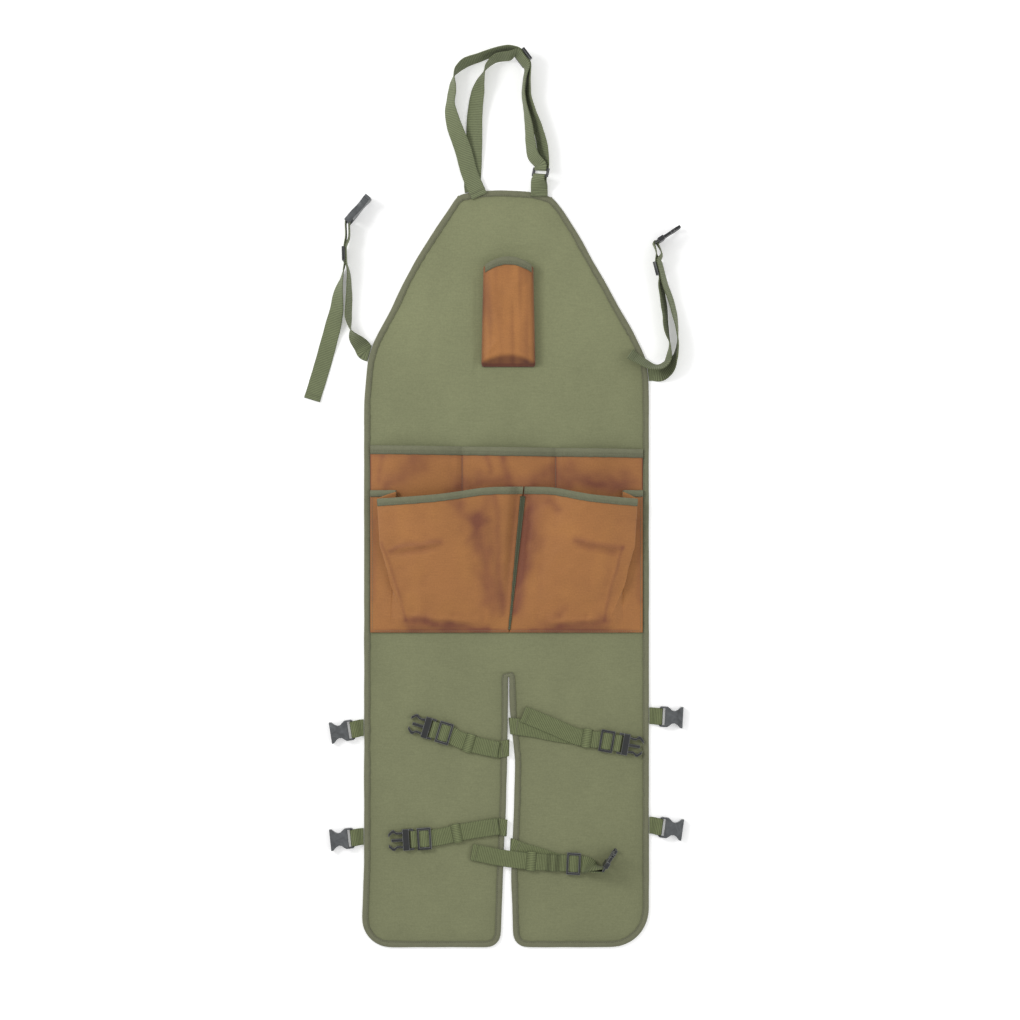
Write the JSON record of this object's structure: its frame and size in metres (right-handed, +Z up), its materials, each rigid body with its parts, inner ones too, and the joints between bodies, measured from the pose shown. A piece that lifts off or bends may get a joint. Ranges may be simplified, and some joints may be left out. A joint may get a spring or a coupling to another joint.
{
  "type": "gardening apron",
  "caption": "Long gardening apron laid flat: bib with chest pocket, pleated waist pockets, split legs, bound edges, and webbing neck, waist and leg straps with buckles.",
  "frame": {"origin": "middle of the apron's box, on the surface that it lies on", "axes": "+Y from the hem to the neck loop, +Z up out of the front of the apron, +X to the right as the front is seen from above"},
  "size_m": [0.5694, 1.3484, 0.0398],
  "materials": {
    "panel_cloth": "matt woven cloth",
    "pocket_cloth": "matt woven cloth with a slight sheen",
    "binding_tape": "matt tape",
    "webbing": "matt webbing",
    "plastic": "satin moulded plastic"
  },
  "bodies": {
    "root": {"centre_seam_tape": "binding_tape", "chest_pocket": "pocket_cloth", "chest_pocket_binding": "binding_tape", "edge_binding": "binding_tape", "front_pocket_left": "pocket_cloth", "front_pocket_left_binding": "binding_tape", "front_pocket_right": "pocket_cloth", "front_pocket_right_binding": "binding_tape", "leg_buckle_female_lower_left": "plastic", "leg_buckle_female_lower_right": "plastic", "leg_buckle_female_upper_left": "plastic", "leg_buckle_female_upper_right": "plastic", "leg_buckle_male_lower_left": "plastic", "leg_buckle_male_lower_right": "plastic", "leg_buckle_male_upper_left": "plastic", "leg_buckle_male_upper_right": "plastic", "leg_keeper_lower_left": "webbing", "leg_keeper_lower_right": "webbing", "leg_keeper_upper_left": "webbing", "leg_keeper_upper_right": "webbing", "leg_slider_lower_left": "plastic", "leg_slider_lower_right": "plastic", "leg_slider_upper_left": "plastic", "leg_slider_upper_right": "plastic", "leg_strap_lower_left": "webbing", "leg_strap_lower_right": "webbing", "leg_strap_upper_left": "webbing", "leg_strap_upper_right": "webbing", "leg_stub_lower_left": "webbing", "leg_stub_lower_right": "webbing", "leg_stub_upper_left": "webbing", "leg_stub_upper_right": "webbing", "main_panel": "panel_cloth", "neck_ring": "plastic", "neck_slider": "plastic", "neck_strap": "webbing", "neck_tab": "webbing", "rear_pocket": "pocket_cloth", "rear_pocket_binding": "binding_tape", "waist_buckle_female": "plastic", "waist_buckle_male": "plastic", "waist_slider_left": "plastic", "waist_slider_right": "plastic", "waist_strap_left": "webbing", "waist_strap_right": "webbing"}
  },
  "joints": []
}
